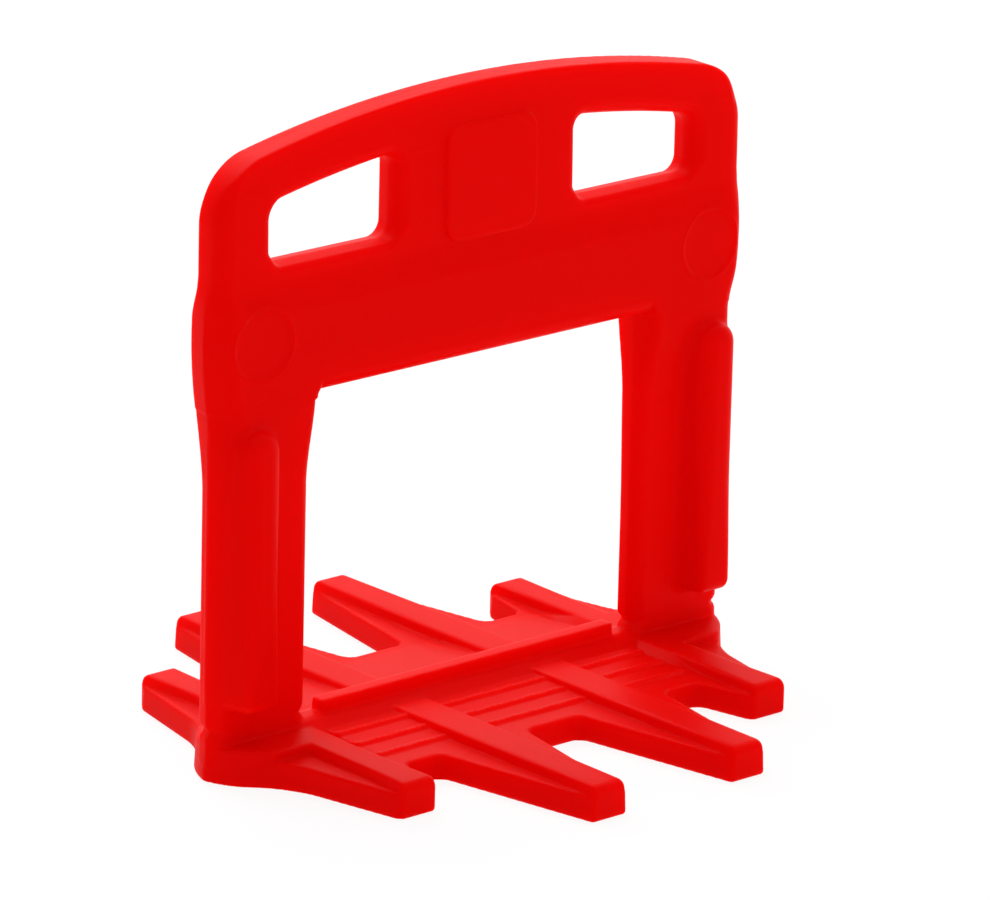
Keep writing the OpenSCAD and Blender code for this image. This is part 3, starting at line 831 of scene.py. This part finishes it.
class CLIP_OT_stage(bpy.types.Operator):
    """Set up the floor, the lights and the camera"""
    bl_idname = "clip.stage"
    bl_label = "Set up the studio"

    def execute(self, context):
        scene = context.scene
        stage = scene.clip_stage
        half = stage.floor_half
        corners = np.array([(-half, -half, 0), (half, -half, 0), (half, half, 0), (-half, half, 0)])
        floor = bpy.data.objects.new("floor", mesh_from_arrays("floor", corners, np.array([[0, 1, 2, 3]])))
        scene.collection.objects.link(floor)
        floor.data.materials.append(self.floor_paint(stage))
        floor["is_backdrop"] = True
        self.even_light(scene, stage)
        self.softbox(scene, "key", stage.key, *KEY_BOX)
        self.softbox(scene, "top", stage.top, *TOP_BOX)
        self.softbox(scene, "front", stage.front, *FRONT_BOX)
        self.softbox(scene, "fill", stage.fill, *FILL_BOX)
        lens = bpy.data.cameras.new("camera")
        lens.lens = stage.lens
        lens.sensor_width = SENSOR_W
        lens.clip_start = NEAREST
        camera = bpy.data.objects.new("camera", lens)
        camera.location = stage.camera_place
        camera.rotation_euler = stage.camera_turn
        scene.collection.objects.link(camera)
        scene.camera = camera
        scene.view_settings.view_transform = "Standard"
        return {"FINISHED"}

    @staticmethod
    def seen_rays(tree):
        """1 for rays that carry the background to the eye, straight or by gloss, and 0 for light."""
        path = add_node(tree, "ShaderNodeLightPath")
        first = add_node(
            tree, "ShaderNodeMath", settings=[("operation", "MAXIMUM")],
            links=[(path.outputs["Is Camera Ray"], 0), (path.outputs["Is Transmission Ray"], 1)])
        second = add_node(
            tree, "ShaderNodeMath", settings=[("operation", "MAXIMUM")],
            links=[(first.outputs[0], 0), (path.outputs["Is Glossy Ray"], 1)])
        return second.outputs[0]

    def floor_paint(self, stage):
        """Matt white studio floor that keeps the clip's shadow."""
        material = bpy.data.materials.new("white studio floor")
        material.use_nodes = True
        tree = material.node_tree
        tree.nodes.remove(tree.nodes["Principled BSDF"])
        matt = add_node(tree, "ShaderNodeBsdfDiffuse", inputs=[("Color", (*stage.floor_colour, 1))])
        glow = add_node(tree, "ShaderNodeEmission", inputs=[("Strength", PLAIN_WHITE)])
        lit = add_node(tree, "ShaderNodeEmission", inputs=[("Strength", stage.floor_light)])
        paint = add_node(tree, "ShaderNodeAddShader", links=[(matt.outputs[0], 0), (lit.outputs[0], 1)])
        share = add_node(
            tree, "ShaderNodeMath", settings=[("operation", "MULTIPLY")], inputs=[(1, stage.floor_glow)],
            links=[(self.seen_rays(tree), 0)])
        mix = add_node(
            tree, "ShaderNodeMixShader",
            links=[(share.outputs[0], 0), (paint.outputs[0], 1), (glow.outputs[0], 2)])
        tree.links.new(mix.outputs[0], tree.nodes["Material Output"].inputs["Surface"])
        return material

    def even_light(self, scene, stage):
        """Even studio light from all round; eye and gloss see a white backdrop, brightest behind the clip."""
        world = bpy.data.worlds.new("studio")
        world.use_nodes = True
        tree = world.node_tree
        light = tree.nodes["Background"]
        light.inputs["Color"].default_value = (1, 1, 1, 1)
        light.inputs["Strength"].default_value = stage.world
        way = add_node(tree, "ShaderNodeTexCoord")
        axes = add_node(tree, "ShaderNodeSeparateXYZ", links=[(way.outputs["Generated"], 0)])
        level = add_node(
            tree, "ShaderNodeMath", settings=[("operation", "MULTIPLY_ADD")],
            inputs=[(1, BACKDROP_SLOPE), (2, PLAIN_WHITE)],
            links=[(axes.outputs["Y"], 0)])
        white = add_node(
            tree, "ShaderNodeBackground", inputs=[("Color", (1, 1, 1, 1))],
            links=[(level.outputs[0], "Strength")])
        mix = add_node(
            tree, "ShaderNodeMixShader",
            links=[(self.seen_rays(tree), 0), (light.outputs[0], 1), (white.outputs[0], 2)])
        tree.links.new(mix.outputs[0], tree.nodes["World Output"].inputs["Surface"])
        scene.world = world

    @staticmethod
    def softbox(scene, name, power, side, place):
        """Square soft light that faces the middle of the clip."""
        lamp = bpy.data.lights.new(name, "AREA")
        lamp.energy = power
        lamp.size = side
        box = bpy.data.objects.new(name, lamp)
        box.location = place
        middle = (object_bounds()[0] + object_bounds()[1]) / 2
        box.rotation_euler = (middle - box.location).to_track_quat("-Z", "Y").to_euler()
        scene.collection.objects.link(box)


class CLIP_PT_panel(bpy.types.Panel):
    """Sizes, finish and studio of the tile levelling clip"""
    bl_label = "Tile clip"
    bl_idname = "CLIP_PT_panel"
    bl_space_type = "VIEW_3D"
    bl_region_type = "UI"
    bl_category = "Tile clip"

    def draw(self, context):
        scene = context.scene
        for group, operator in (
            (scene.clip_shape, "clip.mould"), (scene.clip_finish, None), (scene.clip_stage, "clip.stage"),
        ):
            for name in group.__annotations__:
                self.layout.prop(group, name)
            if operator:
                self.layout.operator(operator)


CLASSES = (ClipShape, ClipFinish, ClipStage, CLIP_OT_mould, CLIP_OT_stage, CLIP_PT_panel)


def register():
    for cls in CLASSES:
        bpy.utils.register_class(cls)
    bpy.types.Scene.clip_shape = PointerProperty(type=ClipShape)
    bpy.types.Scene.clip_finish = PointerProperty(type=ClipFinish)
    bpy.types.Scene.clip_stage = PointerProperty(type=ClipStage)


def unregister():
    del bpy.types.Scene.clip_stage
    del bpy.types.Scene.clip_finish
    del bpy.types.Scene.clip_shape
    for cls in reversed(CLASSES):
        bpy.utils.unregister_class(cls)


def main():
    register()
    bpy.ops.clip.mould()
    bpy.ops.clip.stage()


if __name__ == "__main__":
    main()
